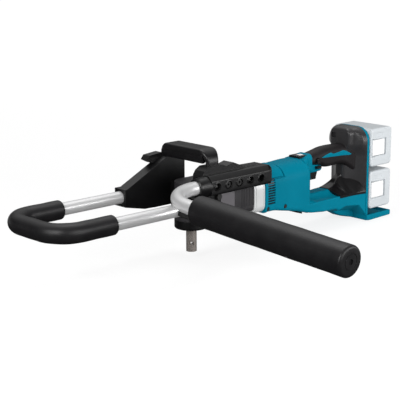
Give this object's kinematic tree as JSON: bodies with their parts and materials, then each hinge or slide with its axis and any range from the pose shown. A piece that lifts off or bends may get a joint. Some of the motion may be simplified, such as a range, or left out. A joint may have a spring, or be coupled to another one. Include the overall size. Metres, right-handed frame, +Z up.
{
  "type": "earth auger drive unit",
  "caption": "Cordless earth auger drive unit with a downward output spindle, front U bar, side reaction bar, rear D handle, carry handle and rear battery packs.",
  "frame": {"origin": "free tip of the output spindle, on its axis", "axes": "+Z up along the spindle into the head, +X along the body towards the battery packs, +Y to the side away from the reaction bar"},
  "size_m": [1.0025, 0.649, 0.235],
  "materials": {
    "teal_plastic": "satin",
    "black_plastic": "satin",
    "soft_cover": "matte",
    "bracket_casting": "satin black coat",
    "gear_case_casting": "satin dark grey coat",
    "bright_alloy": "satin",
    "satin_tube": "satin anodised",
    "foam": "matte closed-cell foam",
    "steel": "ground",
    "dark_fixings": "black oxide",
    "windings": "enamelled copper",
    "pack_shell": "pale satin",
    "pale_trim": "satin",
    "grey_button": "satin"
  },
  "bodies": {
    "machine": {"housing_left": "teal_plastic", "housing_right": "teal_plastic", "battery_plate": "teal_plastic", "battery_guard": "teal_plastic", "grip_inlays": "teal_plastic", "bottom_strip": "black_plastic", "controller": "black_plastic", "switch_unit": "black_plastic", "indicator_panel": "black_plastic", "rear_cover": "black_plastic", "terminal_upper": "black_plastic", "terminal_lower": "black_plastic", "carry_handle": "black_plastic", "grip_end_plug": "black_plastic", "handle_overmould": "soft_cover", "oil_seal": "soft_cover", "near_bracket": "bracket_casting", "far_bracket": "bracket_casting", "saddle": "bracket_casting", "bar_clamp": "bracket_casting", "head_flange": "bracket_casting", "gear_case": "gear_case_casting", "case_ring": "bright_alloy", "bearing_plate": "bright_alloy", "u_bar_tube": "satin_tube", "reaction_bar_tube": "satin_tube", "u_bar_foam": "foam", "reaction_bar_grip": "foam", "spindle_bearing_lower": "steel", "spindle_bearing_upper": "steel", "carrier_bearing": "steel", "ring_gear": "steel", "motor_bearing_front": "steel", "motor_bearing_rear": "steel", "grease_plug": "steel", "housing_screws": "dark_fixings", "clamp_bolts": "dark_fixings", "bracket_bolts": "dark_fixings", "stator": "windings", "indicator_lens": "pale_trim"},
    "spindle": {"spindle": "steel", "bevel_gear": "steel"},
    "carrier": {"planet_carrier": "steel", "bevel_pinion": "steel"},
    "planet_1": {"planet_gear_1": "steel"},
    "planet_2": {"planet_gear_2": "steel"},
    "planet_3": {"planet_gear_3": "steel"},
    "rotor": {"rotor": "steel", "sun_gear": "steel", "cooling_fan": "black_plastic"},
    "trigger": {"trigger": "black_plastic"},
    "lock_off": {"lock_off_button": "black_plastic"},
    "direction": {"direction_lever": "black_plastic"},
    "check": {"check_button": "grey_button"},
    "pack_upper": {"pack_upper": "pack_shell"},
    "pack_lower": {"pack_lower": "pack_shell"},
    "latch_upper": {"latch_upper": "pale_trim"},
    "latch_lower": {"latch_lower": "pale_trim"}
  },
  "joints": [
    {"name": "rotor_spin", "type": "hinge", "parent": "machine", "child": "rotor", "pos_m": [0.2, 0, 0.107], "axis": [1, 0, 0], "continuous": true},
    {"name": "spindle_spin", "type": "hinge", "parent": "machine", "child": "spindle", "pos_m": [0, 0, 0], "axis": [0, 0, 1], "continuous": true},
    {"name": "carrier_spin", "type": "hinge", "parent": "machine", "child": "carrier", "pos_m": [0.1, 0, 0.107], "axis": [1, 0, 0], "continuous": true},
    {"name": "planet_1_spin", "type": "hinge", "parent": "carrier", "child": "planet_1", "pos_m": [0.107, 0, 0.12575], "axis": [1, 0, 0], "continuous": true},
    {"name": "planet_2_spin", "type": "hinge", "parent": "carrier", "child": "planet_2", "pos_m": [0.107, -0.01624, 0.09763], "axis": [1, 0, 0], "continuous": true},
    {"name": "planet_3_spin", "type": "hinge", "parent": "carrier", "child": "planet_3", "pos_m": [0.107, 0.01624, 0.09763], "axis": [1, 0, 0], "continuous": true},
    {"name": "trigger_pull", "type": "slide", "parent": "machine", "child": "trigger", "axis": [-1, 0, 0], "range_m": [0, 0.007], "stiffness_N_per_m": 900},
    {"name": "lock_off_push", "type": "slide", "parent": "machine", "child": "lock_off", "axis": [0, 1, 0], "range_m": [0, 0.004], "stiffness_N_per_m": 600},
    {"name": "direction_shift", "type": "slide", "parent": "machine", "child": "direction", "axis": [0, 1, 0], "range_m": [-0.004, 0.004]},
    {"name": "check_press", "type": "slide", "parent": "machine", "child": "check", "axis": [0, 0, -1], "range_m": [0, 0.0012], "stiffness_N_per_m": 800},
    {"name": "pack_upper_release", "type": "slide", "parent": "machine", "child": "pack_upper", "axis": [0, -1, 0], "range_m": [0, 0.12]},
    {"name": "pack_lower_release", "type": "slide", "parent": "machine", "child": "pack_lower", "axis": [0, -1, 0], "range_m": [0, 0.12]},
    {"name": "latch_upper_press", "type": "slide", "parent": "pack_upper", "child": "latch_upper", "axis": [1, 0, 0], "range_m": [0, 0.005], "stiffness_N_per_m": 600},
    {"name": "latch_lower_press", "type": "slide", "parent": "pack_lower", "child": "latch_lower", "axis": [1, 0, 0], "range_m": [0, 0.005], "stiffness_N_per_m": 600}
  ],
  "couplings": [
    {"joint": "spindle_spin", "follows": "rotor_spin", "ratio": 0.1},
    {"joint": "carrier_spin", "follows": "rotor_spin", "ratio": 0.2},
    {"joint": "planet_1_spin", "follows": "rotor_spin", "ratio": -0.53333},
    {"joint": "planet_2_spin", "follows": "rotor_spin", "ratio": -0.53333},
    {"joint": "planet_3_spin", "follows": "rotor_spin", "ratio": -0.53333}
  ]
}
